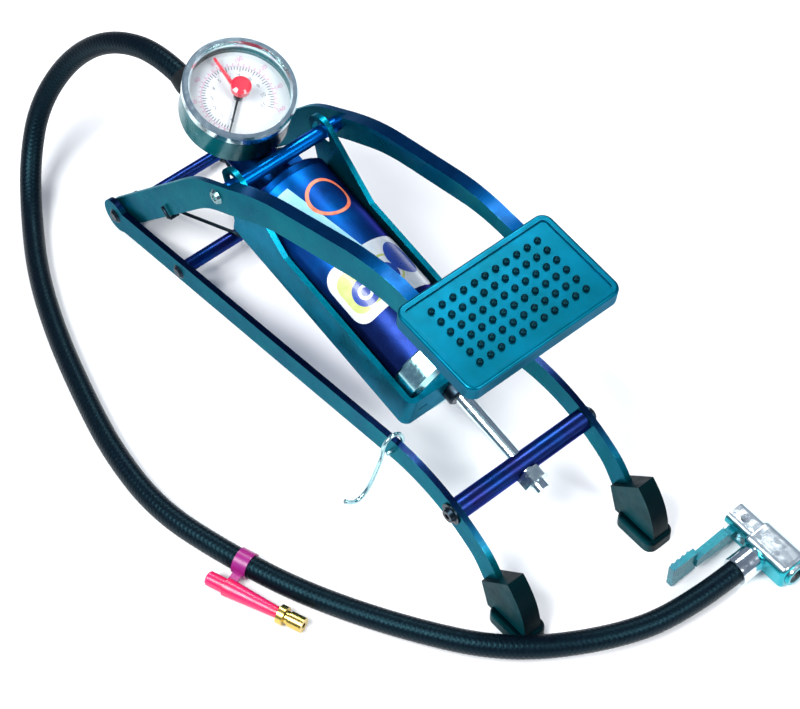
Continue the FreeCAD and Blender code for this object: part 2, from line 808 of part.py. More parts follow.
def stop_sleeve():
    """Spacer on the rod that meets the gland when the pedal is up."""
    rod = size("rod_radius")
    start = size("barrel_start") + 2.0 + size("gap")
    corners = [(rod, start), (rod + 2.4, start), (rod + 2.4, size("piston_face")),
               (rod, size("piston_face"))]
    return keep(turned(corners, barrel_frame()), "stop_sleeve")


# ---------------------------------------------------------------- barrel

def barrel_tube():
    bore = size("bore_radius")
    out = size("barrel_radius")
    start = size("barrel_start")
    corners = [(bore, start), (out - 1.6, start), (out, start + 1.6),
               (out, size("barrel_end")), (bore, size("barrel_end"))]
    return keep(turned(corners, barrel_frame()), "barrel_tube")


def front_cap():
    """Plated cap over the barrel's front end, rolled at both rims."""
    out = size("cap_radius")
    front = size("cap_front")
    end = size("cap_end")
    inner = size("barrel_radius")
    wall = size("barrel_start")
    corners = [(5.0, front), (out - 2.4, front), (out, front + 2.4), (out, end - 1.0),
               (out - 0.6, end), (inner, end), (inner, wall + 1.6), (inner - 1.6, wall),
               (5.0, wall)]
    return keep(turned(corners, barrel_frame()), "front_cap")


def gland():
    """Bush that guides the rod through the yoke and the cap."""
    bore = size("rod_radius") + size("fit")
    web = size("cap_front") - size("yoke_thick")
    corners = [(bore, web - 7.0), (6.2, web - 7.0), (7.2, web - 6.0), (7.2, web), (5.0, web),
               (5.0, size("barrel_start") + 2.0), (bore, size("barrel_start") + 2.0)]
    return keep(turned(corners, barrel_frame()), "gland")


def yoke():
    """U-shaped strap round the barrel's front, with ears that reach the trunnion tube."""
    thick = size("yoke_thick")
    inner = (size("cap_radius") + 0.1).value
    out = inner + thick.value
    front = DRIVING["cap_front"] - thick.value
    back = 198.0
    high = size("yoke_half_high")
    body = new_body(barrel_frame().multiply(Placement(Vector(0, 0, -high.value), Rotation())))
    plan = new_sketch(body, "XY_Plane")
    draw_edges(plan, u_edges(inner, out, front, thick.value, back))
    pad(body, plan, high * 2)
    pieces = [body]
    holes = [cylinder(5.0, 20.0, along_barrel(front - 5.0))]
    intake = barrel_frame().multiply(Placement(Vector(-20.0, front, -0.6), Rotation()))
    holes.append(box(5.4, 2.0, 1.2, intake))
    for side in (-1, 1):
        start = -out if side < 0 else inner
        ear = new_body(barrel_frame().multiply(Placement(Vector(start, 0, 0), Rotation())))
        side_view = new_sketch(ear, "YZ_Plane")
        draw_edges(side_view, ear_edges(high.value, back))
        pad(ear, side_view, thick)
        pieces.append(ear)
    eye = trunnion_point()
    holes.append(cylinder(size("eye_clear"), out * 2 + 10.0, along_x(-out - 5.0, eye.y, eye.z)))
    return keep(cut(fuse(pieces), fuse(holes)), "yoke")


def u_edges(inner, out, front, thick, back):
    """Plan of the U with round bends, open to the rear."""
    bend_out, bend_in = 5.0, 2.0
    short_out = bend_out * (1 - math.sqrt(0.5))
    short_in = bend_in * (1 - math.sqrt(0.5))
    floor = front + thick
    return [
        (Vector(-out, back, 0), Vector(-out, front + bend_out, 0)),
        (Vector(-out, front + bend_out, 0), Vector(-out + short_out, front + short_out, 0),
         Vector(-out + bend_out, front, 0)),
        (Vector(-out + bend_out, front, 0), Vector(out - bend_out, front, 0)),
        (Vector(out - bend_out, front, 0), Vector(out - short_out, front + short_out, 0),
         Vector(out, front + bend_out, 0)),
        (Vector(out, front + bend_out, 0), Vector(out, back, 0)),
        (Vector(out, back, 0), Vector(inner, back, 0)),
        (Vector(inner, back, 0), Vector(inner, floor + bend_in, 0)),
        (Vector(inner, floor + bend_in, 0), Vector(inner - short_in, floor + short_in, 0),
         Vector(inner - bend_in, floor, 0)),
        (Vector(inner - bend_in, floor, 0), Vector(-inner + bend_in, floor, 0)),
        (Vector(-inner + bend_in, floor, 0), Vector(-inner + short_in, floor + short_in, 0),
         Vector(-inner, floor + bend_in, 0)),
        (Vector(-inner, floor + bend_in, 0), Vector(-inner, back, 0)),
        (Vector(-inner, back, 0), Vector(-out, back, 0)),
    ]


def ear_edges(high, back):
    """Side view of one ear: it rises from the strap and rounds off over the trunnion."""
    reach = 10.2
    eye = Vector(TRUNNION_ALONG, TRUNNION_ABOVE, 0)
    rise_start = Vector(158.0, high, 0)
    up = Vector(-math.sin(math.radians(35)), math.cos(math.radians(35)), 0)
    top_left = eye + up * reach
    top = eye + Vector(math.sin(math.radians(20)), math.cos(math.radians(20)), 0) * reach
    right = eye + Vector(reach, 0, 0)
    foot_right = Vector(back, -high + 8.0, 0)
    return [(rise_start, top_left), (top_left, top, right), (right, foot_right),
            (foot_right, Vector(back - 4.0, -high, 0)),
            (Vector(back - 4.0, -high, 0), Vector(158.0, -high, 0)),
            (Vector(158.0, -high, 0), rise_start)]


def head():
    """Casting that closes the barrel, holds the check valve and carries the gauge."""
    port = size("port_radius")
    room = size("chamber_radius")
    bore = size("bore_radius")
    rim = size("barrel_radius") + 0.4
    end = size("boss_end")
    corners = [(port, size("head_front")), (bore, size("head_front")),
               (bore, size("barrel_end")), (rim, size("barrel_end")),
               (rim, size("head_flange") - 1.5), (rim - 1.5, size("head_flange")),
               (size("boss_radius") + 3.0, size("head_flange")),
               (size("boss_radius"), size("head_flange") + 5.0), (size("boss_radius"), end),
               (room, end), (room, size("chamber_front")), (port, size("chamber_front"))]
    body = turned(corners, barrel_frame())
    up = barrel_frame().multiply(Placement(Vector(0, GAUGE_ALONG, 6.0), Rotation()))
    collar_high = 8.0
    collar = cylinder(8.5, collar_high, up)
    collar_cut = cylinder(size("chamber_radius"), 60.0, along_barrel(GAUGE_ALONG - 30.0))
    feed = cylinder(2.0, collar_high + 6.0, up)
    ribs = []
    for side in (-1, 1):
        place = barrel_frame().multiply(Placement(Vector(side * 15.0, 204.0, -3.0), Rotation()))
        ribs.append(box(9.0, 18.0, 6.0, place))
    whole = fuse([body, cut(collar, collar_cut)] + ribs)
    return keep(cut(whole, feed), "head")


def gauge_stem():
    """Square-on stub between the head's collar and the gauge's back."""
    place = barrel_frame().multiply(Placement(Vector(0, GAUGE_ALONG, 14.0), Rotation()))
    column = hexagon(12.0, GAUGE_BASE - 14.0 + 2.0, place)
    feed = cylinder(2.0, 12.0, place)
    trim = gauge_box(40.0, 20.0, 0.0)
    return keep(cut(cut(column, feed), trim), "gauge_stem")


def gauge_box(wide, high, start):
    place = gauge_frame().multiply(Placement(Vector(0, 0, start), Rotation()))
    return box(wide, wide, high, place)


def in_gauge(radius, high, start):
    place = gauge_frame().multiply(Placement(Vector(0, 0, start), Rotation()))
    return cylinder(radius, high, place)


def turned_up(corners):
    """Revolve (radius, height) corners about the gauge's own axis."""
    turn = Placement(Vector(0, 0, 0), Rotation(Vector(1, 0, 0), 90))
    return turned(corners, gauge_frame().multiply(turn))


def gauge():
    """Case, dial, glass and bezel, with the arbor that the needle turns on."""
    out = size("gauge_radius")
    deep = size("gauge_deep")
    case = [(0.0, 0.0), (out - 2.6, 0.0), (out - 0.7, 2.0), (out - 0.7, deep - 6.0),
            (out - 3.0, deep - 6.0), (out - 3.0, 3.0), (0.0, 3.0)]
    keep(turned_up(case), "gauge_case")
    bezel = [(out - 0.7, deep - 6.0), (out, deep - 5.6), (out, deep - 1.0), (out - 1.0, deep),
             (out - 3.2, deep), (out - 4.2, deep - 1.8), (out - 3.0, deep - 1.8),
             (out - 3.0, deep - 6.0)]
    keep(turned_up(bezel), "gauge_bezel")
    dial_top = 15.0
    dial = [(0.8, dial_top - 1.0), (out - 3.0, dial_top - 1.0), (out - 3.0, dial_top),
            (0.8, dial_top)]
    keep(turned_up(dial), "gauge_dial")
    arbor = [(0.0, 3.0), (4.0, 3.0), (4.0, 8.0), (0.8, 8.0), (0.8, 18.2), (0.0, 18.2)]
    keep(turned_up(arbor), "gauge_arbor")
    glass = [(1.7, deep - 3.4), (out - 3.0, deep - 3.4), (out - 3.0, deep - 1.8),
             (1.7, deep - 1.8)]
    keep(turned_up(glass), "gauge_glass")


def pointer(length, tail, wide, thick, start, angle):
    """Tapered bar across the dial's centre, pointing at an angle from the gauge's +Y."""
    spin = Placement(Vector(0, 0, start), Rotation(Vector(0, 0, 1), angle))
    body = new_body(gauge_frame().multiply(spin))
    sketch = new_sketch(body, "XY_Plane")
    draw_polygon(sketch, [(-wide / 2, -tail), (wide / 2, -tail), (wide / 4, length),
                          (-wide / 4, length)])
    pad(body, sketch, thick)
    return body


def gauge_needle():
    base = 16.6
    hub = in_gauge(2.6, 1.8, base)
    bar = pointer(24.4, 7.0, 1.5, 0.6, base + 0.6, NEEDLE_ANGLE)
    bore = in_gauge(0.8 + DRIVING["fit"], 2.0, base - 0.2)
    return keep(cut(fuse([hub, bar]), bore), "gauge_needle")


def gauge_marker():
    """Red reminder pointer under the glass, turned by the knob on top of it."""
    glass_top = DRIVING["gauge_deep"] - 1.8
    low = 19.6
    shaft = in_gauge(1.7 - DRIVING["fit"], glass_top - low + 1.0, low)
    bar = pointer(24.0, 0.0, 2.6, 0.7, low, MARKER_ANGLE)
    knob = in_gauge(5.4, 3.6, glass_top + 0.4)
    dome = cone_in_gauge(5.4, 3.6, 1.2, glass_top + 4.0)
    return keep(fuse([shaft, bar, knob, dome]), "gauge_marker")


def cone_in_gauge(radius_low, radius_top, high, start):
    place = gauge_frame().multiply(Placement(Vector(0, 0, start), Rotation()))
    return cone(radius_low, radius_top, high, place)


NEEDLE_ANGLE = 131.0
MARKER_ANGLE = -4.0


def check_valve():
    """Loose disc that lets air out of the barrel and not back in."""
    start = size("chamber_front") + 0.3
    corners = [(0.0, start), (4.6, start), (4.6, start + 2.0), (2.2, start + 2.0),
               (2.2, start + 5.0), (0.0, start + 5.0)]
    return keep(turned(corners, barrel_frame()), "check_valve")


def hose_tail():
    """Screwed union and crimped sleeve that the hose leaves the head by."""
    room = size("chamber_radius")
    end = size("boss_end")
    port = size("port_radius")
    corners = [(port, size("chamber_end")), (room, size("chamber_end")), (room, end),
               (8.0, end), (8.0, end + 6.0), (7.4, end + 6.5), (7.4, size("hose_start")),
               (port, size("hose_start"))]
    return keep(turned(corners, barrel_frame()), "hose_union")


# ---------------------------------------------------------------- hose and what is on it

def hose():
    path, radii = route_path(HOSE_ROUTE)
    radius = DRIVING["hose_radius"]
    head_way = (Vector(*HOSE_ROUTE[1]) - Vector(*HOSE_ROUTE[0])).normalize()
    ring = Part.Wire(Part.makeCircle(radius, Vector(*HOSE_ROUTE[0]), head_way))
    solid = path.makePipeShell([ring], True, False, 0)
    expected = math.pi * radius ** 2 * path.Length
    print("hose length {:.1f} mm, radii {}".format(path.Length, [round(r) for r in radii]))
    print("hose volume ratio {:.4f}".format(solid.Volume / expected))
    item = DOC.addObject("Part::Feature", "hose")
    item.Shape = solid
    return keep(item, "hose")


def hose_collar():
    """Rubber collar that stiffens the hose where it leaves the head, and moves with its end."""
    bore = size("hose_radius") + 0.05
    start = size("hose_start") + 6.5
    corners = [(bore, start), (7.4, start), (7.8, start + 0.6), (7.8, start + 3.0),
               (7.0, start + 8.6), (bore, start + 9.0)]
    return keep(turned(corners, barrel_frame()), "hose_collar")


def chuck():
    """Clamp-on chuck at the hose's end: ferrule, body, seal and pivot pin."""
    end = HOSE_ROUTE[-1]
    turn = Rotation(Vector(0, 0, 1), -90)
    ferrule = [(0.0, 0.0), (7.6, 0.0), (7.9, 1.0), (7.9, 12.0), (6.8, 14.0), (6.8, 18.0),
               (0.0, 18.0)]
    sleeve = turned(ferrule, Placement(Vector(*end), turn))
    half, corner = DRIVING["chuck_radius"], 4.5
    mouth = CHUCK_Y - 22.0
    turn_back = Rotation(Vector(1, 0, 0), 90)
    shell = new_body(Placement(Vector(CHUCK_X, CHUCK_Y + 9.0, CHUCK_Z), turn_back))
    outline = new_sketch(shell, "XY_Plane")
    draw_edges(outline, rounded_rectangle(half, half - 0.4, corner))
    block = pad(shell, outline, CHUCK_Y + 9.0 - mouth - 2.0)
    DOC.recompute()
    nose = shell.newObject("PartDesign::Fillet", "nose")
    nose.Base = (block, end_edges(block.Shape))
    nose.Radius = 2.5
    place = Placement(Vector(CHUCK_X, mouth, CHUCK_Z), Rotation())
    lip = turned([(4.9, 0.0), (6.4, 0.0), (7.0, 0.6), (7.0, 4.0), (4.9, 4.0)], place)
    mouth_bore = cylinder(4.9, 13.0, Placement(Vector(CHUCK_X, mouth + 13.0, CHUCK_Z),
                                               turn_back))
    fork_body = new_body(Placement(Vector(CHUCK_X, CHUCK_Y + 24.0, CHUCK_Z), turn_back))
    fork_outline = new_sketch(fork_body, "XY_Plane")
    draw_edges(fork_outline, rounded_rectangle(6.6, half - 0.4, 3.5))
    pad(fork_body, fork_outline, 17.0)
    slot = box(20.0, 15.4, 6.4, Placement(Vector(CHUCK_X, CHUCK_Y + 16.7, 6.0), Rotation()))
    pin_spot = Vector(CHUCK_X, CHUCK_Y + 16.0, 1.6)
    pin = cylinder(1.8, 15.6, Placement(pin_spot, Rotation()))
    pin_head = cone(2.7, 2.2, 0.8, Placement(pin_spot + Vector(0, 0, 16.3), Rotation()))
    hole = cylinder(1.8, 18.0, Placement(pin_spot, Rotation()))
    whole = cut(fuse([shell, fork_body, lip]), fuse([slot, hole, mouth_bore]))
    keep(cut(whole, sleeve), "chuck_body")
    keep(sleeve, "hose_ferrule")
    pin_top = cylinder(1.8, 0.8, Placement(pin_spot + Vector(0, 0, 15.6), Rotation()))
    keep(fuse([pin, pin_top, pin_head]), "chuck_pin")
    seal = [(2.4, 2.5), (4.9, 2.5), (4.9, 10.5), (2.4, 10.5)]
    keep(turned(seal, place), "chuck_seal")


def chuck_lever():
    """Thumb lever: an eye on the pin, a bar beside the hose and an upright paddle."""
    spot = Vector(CHUCK_X, CHUCK_Y + 16.0, 6.3)
    high = 5.8
    eye = cylinder(5.0, high, Placement(spot, Rotation()))
    bar = new_body(Placement(Vector(0, spot.y + 4.6, 0), Rotation()))
    outline = new_sketch(bar, "XZ_Plane")
    draw_polygon(outline, [(CHUCK_X, 6.3), (CHUCK_X, 12.1), (CHUCK_X - 10.8, 12.1),
                           (CHUCK_X - 12.0, 14.4), (CHUCK_X - 34.0, 12.4),
                           (CHUCK_X - 34.0, 6.0), (CHUCK_X - 12.0, 4.0),
                           (CHUCK_X - 10.8, 6.3)])
    pad(bar, outline, 4.8)
    paddle = box(17.0, 3.6, 15.0, Placement(Vector(CHUCK_X - 41.5, spot.y + 3.0, 1.8), Rotation()))
    ribs = []
    for step in range(4):
        x = CHUCK_X - 47.0 + 3.6 * step
        ribs.append(box(1.4, 1.0, 13.0, Placement(Vector(x, spot.y + 5.2, 2.8), Rotation())))
    bore = cylinder(1.8 + DRIVING["fit"], high, Placement(spot, Rotation()))
    return keep(cut(fuse([eye, bar, paddle] + ribs), bore), "chuck_lever")


def adapters():
    """Cone adapter and brass valve adapter on a clip round the hose."""
    radius = DRIVING["adapter_radius"]
    rear = Vector(-148.7, -45.4, radius + 0.2)
    front = Vector(-128.6, -99.2, radius + 0.2)
    head_way = (front - rear).normalize()
    turn = Rotation(Vector(0, 1, 0), head_way)
    corners = [(0.0, 0.0), (3.4, 0.0), (4.0, 0.8), (4.0, 10.8), (5.0, 10.8), (2.9, 42.8),
               (0.0, 42.8)]
    cone_piece = turned(corners, Placement(rear, turn))
    brass = [(0.0, 42.8), (5.2, 42.8), (5.2, 46.4), (3.4, 46.4), (3.4, 48.6), (4.2, 49.0),
             (4.2, 57.0), (1.6, 57.0), (1.6, 50.0), (0.0, 50.0)]
    brass_piece = turned(brass, Placement(rear, turn))
    here, there = Vector(*HOSE_ROUTE[12]), Vector(*HOSE_ROUTE[13])
    along = (there - here).normalize()
    middle = here + along * 14.0
    ring_turn = Rotation(Vector(0, 1, 0), along)
    hose_radius = size("hose_radius")
    ring = [(hose_radius, -4.0), (hose_radius + 0.9, -4.0), (hose_radius + 0.9, 4.0),
            (hose_radius, 4.0)]
    clip = turned(ring, Placement(middle, ring_turn))
    keep(cone_piece, "adapter_cone")
    keep(brass_piece, "adapter_brass")
    tab = box(7.0, 5.0, 2.4, Placement(Vector(middle.x - 9.4, middle.y - 3.6, 4.4),
                                       Rotation(Vector(0, 0, 1), 20)))
    ground = box(40.0, 40.0, 4.0, Placement(Vector(middle.x, middle.y, -4.0), Rotation()))
    holder = cut(fuse([clip, tab]), ground)
    keep(cut(cut(holder, cone_piece), PARTS["hose"]), "adapter_clip")


def lock_hook():
    """Wire hook that hangs in a hole of the left arm and can be swung over."""
    y, z = HOOK_PIVOT
    path = [(-50.2, y, z), (-40.4, y, z), (-39.7, y, z + 4.5), (-41.4, y, z + 10.2),
            (-45.5, y, z + 13.0), (-49.6, y, z + 12.0), (-52.6, y, z + 8.0),
            (-53.6, y, z), (-56.2, y, z - 6.2), (-61.0, y, z - 16.5), (-65.6, y, z - 22.0),
            (-70.0, y, z - 23.6), (-74.2, y, z - 21.2), (-77.5, y, z - 16.5)]
    return keep(bent_rod(path, DRIVING["hook_wire"]), "lock_hook")


# ---------------------------------------------------------------- whole

def build():
    fill_sheet()
    for side in (-1, 1):
        arm = base_arm(side)
        foot(side, arm)
    axle_set()
    cross_tube_set()
    front_screws()
    mirrored(return_spring(), "return_spring_right")
    for side in (-1, 1):
        lever_arm(side)
    trunnion_set()
    pedal_plate()
    pedal_rivets()
    pedal_cover()
    pedal_studs()
    front_tube()
    piston_rod()
    rod_nuts()
    piston()
    piston_cup()
    stop_sleeve()
    barrel_tube()
    front_cap()
    gland()
    yoke()
    head()
    gauge_stem()
    gauge()
    gauge_needle()
    gauge_marker()
    check_valve()
    hose_tail()
    hose()
    hose_collar()
    chuck()
    chuck_lever()
    adapters()
    lock_hook()
    DOC.recompute()


def check_and_write():
    bad = [item.Label for item in DOC.Objects
           if "Invalid" in item.State or "Error" in item.State]
    for name, item in PARTS.items():
        if item.Shape.isNull() or not item.Shape.isValid() or not item.Shape.Solids:
            bad.append(name)
    if bad:
        raise RuntimeError("failed objects: " + ", ".join(bad))
    os.makedirs("parts", exist_ok=True)
    for name, item in PARTS.items():
        item.Shape.exportStep(os.path.join("parts", name + ".step"))
    print("{} sub-parts, {} solids".format(
        len(PARTS), sum(len(item.Shape.Solids) for item in PARTS.values())))


build()
check_and_write()
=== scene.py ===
import math

import bmesh
import bpy
from mathutils import Matrix, Vector


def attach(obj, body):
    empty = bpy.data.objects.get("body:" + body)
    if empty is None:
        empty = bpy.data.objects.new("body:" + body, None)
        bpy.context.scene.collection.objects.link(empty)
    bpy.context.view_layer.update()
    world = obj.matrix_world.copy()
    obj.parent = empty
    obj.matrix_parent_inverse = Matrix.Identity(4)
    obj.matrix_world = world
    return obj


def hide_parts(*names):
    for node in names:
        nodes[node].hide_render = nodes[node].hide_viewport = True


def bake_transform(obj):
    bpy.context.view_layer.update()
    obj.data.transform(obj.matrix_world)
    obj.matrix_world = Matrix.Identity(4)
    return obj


MM = 0.001

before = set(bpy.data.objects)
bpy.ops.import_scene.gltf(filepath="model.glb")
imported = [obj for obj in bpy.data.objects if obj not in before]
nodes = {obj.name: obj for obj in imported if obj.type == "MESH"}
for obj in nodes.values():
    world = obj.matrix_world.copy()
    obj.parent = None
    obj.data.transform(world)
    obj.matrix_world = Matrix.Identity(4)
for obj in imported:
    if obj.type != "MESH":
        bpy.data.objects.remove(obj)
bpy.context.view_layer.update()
scene = bpy.context.scene
scene.view_settings.view_transform = "Standard"


def tilted(origin, degrees):
    """Frame at a point in millimetres, turned about X."""
    return Matrix.Translation(Vector(origin) * MM) @ Matrix.Rotation(math.radians(degrees), 4, "X")


BARREL = tilted((0, -115.5, 46.5), 12.1)
GAUGE = tilted(BARREL @ (Vector((0, 240.5, 19.5)) * MM) / MM, 17.6)
PEDAL = tilted((0, -99.42, 162.07), 6.01)
BARREL_RADIUS = 26.5


# ---------------------------------------------------------------- camera and light

camera_data = bpy.data.cameras.new("camera")
camera_data.lens = 101.35
camera_data.sensor_width = 36
camera_data.clip_start = 0.01
camera = bpy.data.objects.new("camera", camera_data)
scene.collection.objects.link(camera)
camera.location = (-0.4557, -0.5632, 0.9941)
camera.rotation_mode = "QUATERNION"
camera.rotation_quaternion = Vector((0.3839, 0.4571, -0.8023)).to_track_quat("-Z", "Y")
scene.camera = camera


def area_light(name, place, aim, size, power):
    light = bpy.data.lights.new(name, "AREA")
    light.shape = "DISK"
    light.size = size
    light.energy = power
    item = bpy.data.objects.new(name, light)
    scene.collection.objects.link(item)
    item.location = place
    item.rotation_mode = "QUATERNION"
    item.rotation_quaternion = (Vector(aim) - Vector(place)).to_track_quat("-Z", "Y")


area_light("key_light", (-1.1, -0.1, 1.5), (0, 0, 0.05), 0.9, 42)
area_light("front_light", (0.3, -1.3, 1.2), (0, 0, 0.05), 0.7, 20)
area_light("glare_light", (0.75, 0.75, 1.6), (0, 0, 0.1), 0.5, 13)

world = bpy.data.worlds.new("room")
world.use_nodes = True
scene.world = world
background = world.node_tree.nodes["Background"]
background.inputs["Color"].default_value = (0.62, 0.72, 0.95, 1)
background.inputs["Strength"].default_value = 0.3


# ---------------------------------------------------------------- hose

HOSE_ROUTE = [
    (0.0, 0.14852, 0.1031), (0.0, 0.17852, 0.10953), (-0.009, 0.2155, 0.0995),
    (-0.0235, 0.2395, 0.076), (-0.0455, 0.2455, 0.0475), (-0.064, 0.234, 0.022),
    (-0.082, 0.2095, 0.0068), (-0.1025, 0.1735, 0.0064), (-0.1185, 0.133, 0.0064),
    (-0.131, 0.09, 0.0064), (-0.141, 0.0475, 0.0064), (-0.144, 0.0035, 0.0064),
    (-0.134, -0.038, 0.0064), (-0.118, -0.084, 0.0064), (-0.092, -0.134, 0.0084),
    (-0.0635, -0.1775, 0.0126), (-0.0225, -0.204, 0.012), (0.018, -0.217, 0.0096),
    (0.057, -0.217, 0.0092),
]
HOSE_RADIUS = 0.0062
BRAID_PITCH = 0.0026
BRAID_DEPTH = 0.00016
BRAID_STRANDS = 8


def spline_points(route, name):
    """Points along a NURBS spline that has the route as its control points."""
    curve = bpy.data.curves.new(name, "CURVE")
    curve.dimensions = "3D"
    curve.resolution_u = 24
    spline = curve.splines.new("NURBS")
    spline.points.add(len(route) - 1)
    for point, place in zip(spline.points, route):
        point.co = (*place, 1)
    spline.order_u = 3
    spline.use_endpoint_u = True
    holder = bpy.data.objects.new(name, curve)
    scene.collection.objects.link(holder)
    bpy.context.view_layer.update()
    mesh = bpy.data.meshes.new_from_object(holder)
    points = [vertex.co.copy() for vertex in mesh.vertices]
    bpy.data.objects.remove(holder)
    bpy.data.meshes.remove(mesh)
    return points


def evenly(points, step):
    """The same line with points a fixed step apart."""
    lengths = [0.0]
    for before, after in zip(points, points[1:]):
        lengths.append(lengths[-1] + (after - before).length)
    count = max(2, round(lengths[-1] / step))
    out = []
    at = 0
    for number in range(count + 1):
        wanted = lengths[-1] * number / count
        while at < len(points) - 2 and lengths[at + 1] < wanted:
            at += 1
        span = lengths[at + 1] - lengths[at]
        share = (wanted - lengths[at]) / span if span else 0.0
        out.append(points[at].lerp(points[at + 1], share))
    return out, lengths[-1]


def new_object(name, mesh, smooth=True):
    item = bpy.data.objects.new(name, mesh)
    scene.collection.objects.link(item)
    if smooth:
        mesh.polygons.foreach_set("use_smooth", [True] * len(mesh.polygons))
    return item


def built(build, name, smooth=True):
    """Object made from a bmesh, which is used up."""
    mesh = bpy.data.meshes.new(name)
    build.normal_update()
    build.to_mesh(mesh)
    build.free()
    return new_object(name, mesh, smooth)


def tube(name, points, radius_at, around):
    """Closed tube along points. radius_at gives the radius for a distance along and a turn."""
    build = bmesh.new()
    layer = build.loops.layers.uv.new("UVMap")
    count = len(points)
    side = None
    rings = []
    along = [0.0]
    for before, after in zip(points, points[1:]):
        along.append(along[-1] + (after - before).length)
    for number, point in enumerate(points):
        way = (points[min(number + 1, count - 1)] - points[max(number - 1, 0)]).normalized()
        if side is None:
            side = way.orthogonal().normalized()
        side = (side - way * side.dot(way)).normalized()
        other = way.cross(side)
        ring = []
        for part in range(around):
            turn = 2 * math.pi * part / around
            radius = radius_at(along[number], turn)
            ring.append(build.verts.new(
                point + side * (radius * math.cos(turn)) + other * (radius * math.sin(turn))))
        rings.append(ring)
    for number in range(count - 1):
        for part in range(around):
            after = (part + 1) % around
            face = build.faces.new((rings[number][part], rings[number][after],
                                    rings[number + 1][after], rings[number + 1][part]))
            spots = ((part, number), (part + 1, number), (part + 1, number + 1),
                     (part, number + 1))
            for loop, (u, v) in zip(face.loops, spots):
                loop[layer].uv = (u / around, along[v])
    build.faces.new(list(reversed(rings[0])))
    build.faces.new(rings[-1])
    return built(build, name)


hose_line = spline_points(HOSE_ROUTE, "hose_route")
hose_points, hose_length = evenly(hose_line, 0.00045)


def braid_radius(along, turn):
    """Two families of slanted strands that cross over the hose."""
    slant = 2 * math.pi * along / BRAID_PITCH
    rise = max(math.cos(slant + BRAID_STRANDS * turn), math.cos(slant - BRAID_STRANDS * turn))
    return HOSE_RADIUS + BRAID_DEPTH * (rise - 1)


hose = tube("hose_braid", hose_points, braid_radius, 32)


# ---------------------------------------------------------------- materials

class Finish:
    """A node material on a Principled shader, in object coordinates."""

    def __init__(self, name, colour, roughness=0.4, metallic=0.0, **inputs):
        self.material = bpy.data.materials.new(name)
        self.material.use_nodes = True
        self.tree = self.material.node_tree
        self.shader = self.tree.nodes["Principled BSDF"]
        self.coords = self.tree.nodes.new("ShaderNodeTexCoord")
        self.set("Base Color", (*colour, 1))
        self.set("Roughness", roughness)
        self.set("Metallic", metallic)
        for key, value in inputs.items():
            self.set(key.replace("_", " "), value)

    def set(self, name, value):
        self.shader.inputs[name].default_value = value

    def node(self, kind, **settings):
        made = self.tree.nodes.new(kind)
        for key, value in settings.items():
            setattr(made, key, value)
        return made

    def join(self, source, target):
        self.tree.links.new(source, target)

    def noise(self, scale, detail=3.0):
        made = self.node("ShaderNodeTexNoise")
        made.inputs["Scale"].default_value = scale
        made.inputs["Detail"].default_value = detail
        self.join(self.coords.outputs["Object"], made.inputs["Vector"])
        return made.outputs["Fac"]

    def span(self, source, low, high, to_low=0.0, to_high=1.0):
        made = self.node("ShaderNodeMapRange")
        for key, value in (("From Min", low), ("From Max", high),
                           ("To Min", to_low), ("To Max", to_high)):
            made.inputs[key].default_value = value
        self.join(source, made.inputs["Value"])
        return made.outputs["Result"]

    def times(self, first, second):
        made = self.node("ShaderNodeMath", operation="MULTIPLY")
        self.join(first, made.inputs[0])
        if isinstance(second, float):
            made.inputs[1].default_value = second
        else:
            self.join(second, made.inputs[1])
        return made.outputs[0]

    def blend(self, share, first, second):
        """Colour between first and second; each is a colour or a socket."""
        made = self.node("ShaderNodeMix", data_type="RGBA")
        for socket, value in ((made.inputs[6], first), (made.inputs[7], second)):
            if isinstance(value, tuple):
                socket.default_value = (*value, 1)
            else:
                self.join(value, socket)
        self.join(share, made.inputs[0])
        return made.outputs[2]

    def edges(self, width=0.0009):
        """1 on sharp edges and 0 on flat stretches."""
        bevel = self.node("ShaderNodeBevel", samples=4)
        bevel.inputs["Radius"].default_value = width
        flat = self.node("ShaderNodeNewGeometry")
        dot = self.node("ShaderNodeVectorMath", operation="DOT_PRODUCT")
        self.join(bevel.outputs["Normal"], dot.inputs[0])
        self.join(flat.outputs["Normal"], dot.inputs[1])
        return self.span(dot.outputs["Value"], 0.995, 0.86)

    def ramp(self, output, axis, low, high):
        """Share that runs from 0 to 1 along one axis of a coordinate output."""
        parts = self.node("ShaderNodeSeparateXYZ")
        self.join(self.coords.outputs[output], parts.inputs[0])
        return self.span(parts.outputs[axis], low, high)

    def facing(self, axis, low, high):
        """Share of the surface that faces one way on the object."""
        return self.ramp("Normal", axis, low, high)

    def paint(self, colour):
        self.join(colour, self.shader.inputs["Base Color"])
        return self

    def dull(self, source, low, high):
        self.join(self.span(source, 0.3, 0.7, low, high), self.shader.inputs["Roughness"])
        return self

    def relief(self, source, height, strength=0.5):
        made = self.node("ShaderNodeBump")
        made.inputs["Distance"].default_value = height
        made.inputs["Strength"].default_value = strength
        self.join(source, made.inputs["Height"])
        self.join(made.outputs["Normal"], self.shader.inputs["Normal"])
        return self

    def on(self, *names):
        for name in names:
            item = nodes[name]
            item.data.materials.clear()
            item.data.materials.append(self.material)
        return self


